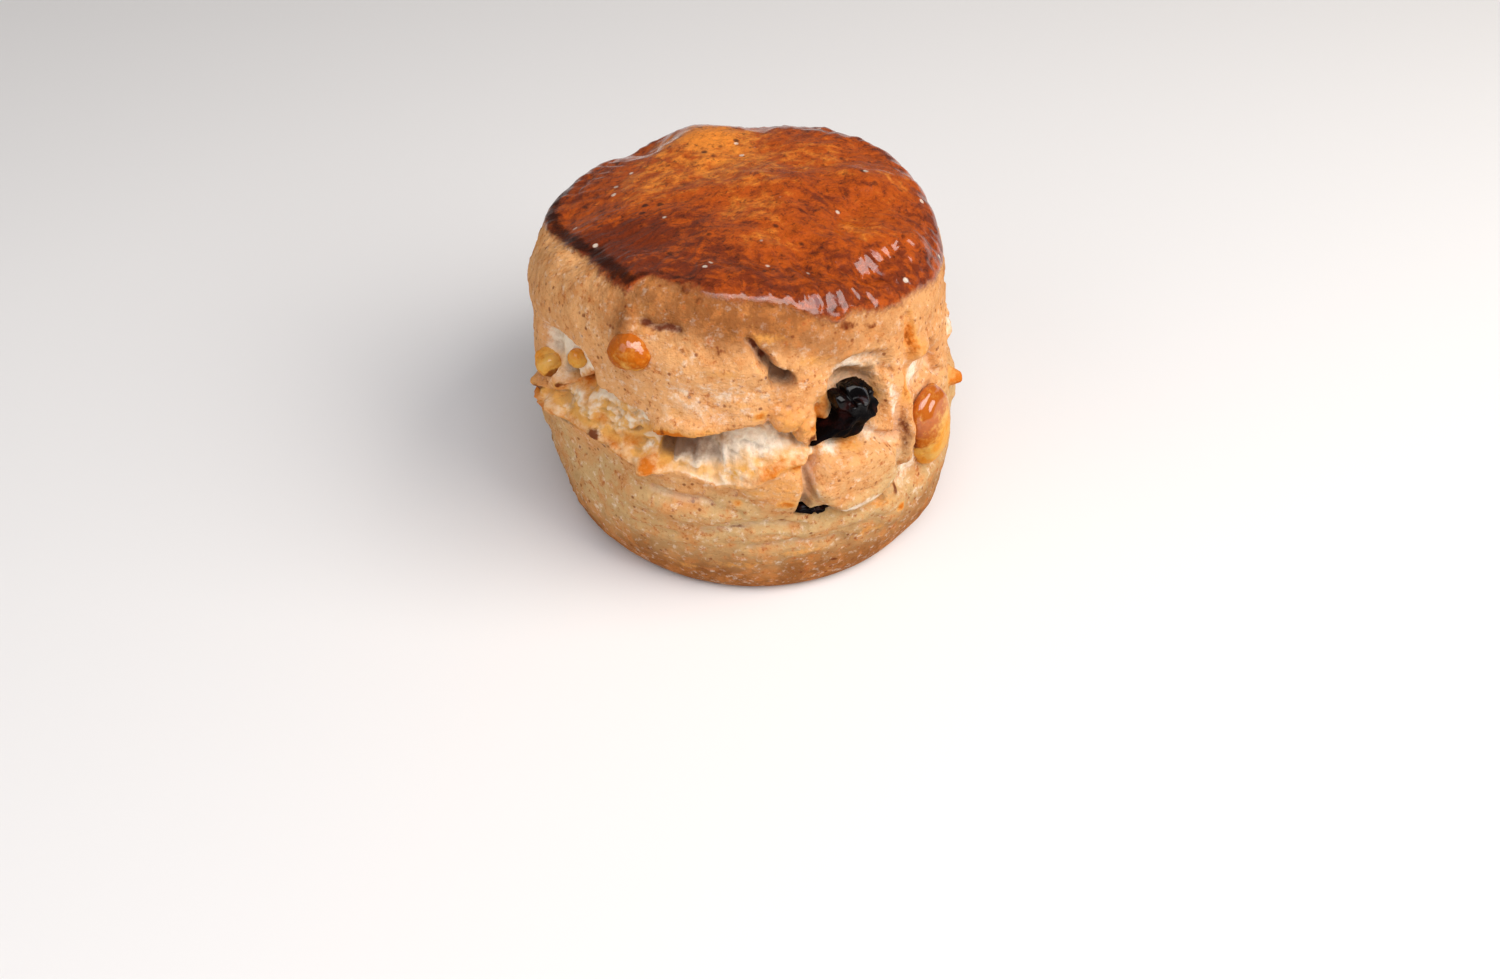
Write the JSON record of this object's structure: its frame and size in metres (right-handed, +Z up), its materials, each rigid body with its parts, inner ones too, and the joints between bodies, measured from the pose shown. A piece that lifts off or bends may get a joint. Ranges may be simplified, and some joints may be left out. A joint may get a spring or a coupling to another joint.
{
  "type": "scone",
  "caption": "Tall round fruit-and-nut scone with an uneven glazed top, torn floury sides, baked-in raisins and nut pieces, and a flat foot",
  "frame": {"origin": "middle of the flat foot, on the surface that the scone stands on", "axes": "+Z up, -Y the torn front seen in the picture, +X to the viewer's right"},
  "size_m": [0.0687, 0.0718, 0.0573],
  "materials": {
    "baked_dough": "baked scone dough: dry tan wall, pale torn crumb, dark brown egg glaze on the top",
    "raisin": "black wrinkled raisin, moist gloss",
    "nut": "toasted nut, orange brown, slightly glossy"
  },
  "bodies": {
    "root": {"scone": "baked_dough", "raisin_front": "raisin", "raisin_low": "raisin", "raisin_back": "raisin", "nut_round": "nut", "nut_left": "nut", "nut_left_inner": "nut", "nut_right": "nut", "nut_back": "nut", "nut_side": "nut"}
  },
  "joints": []
}
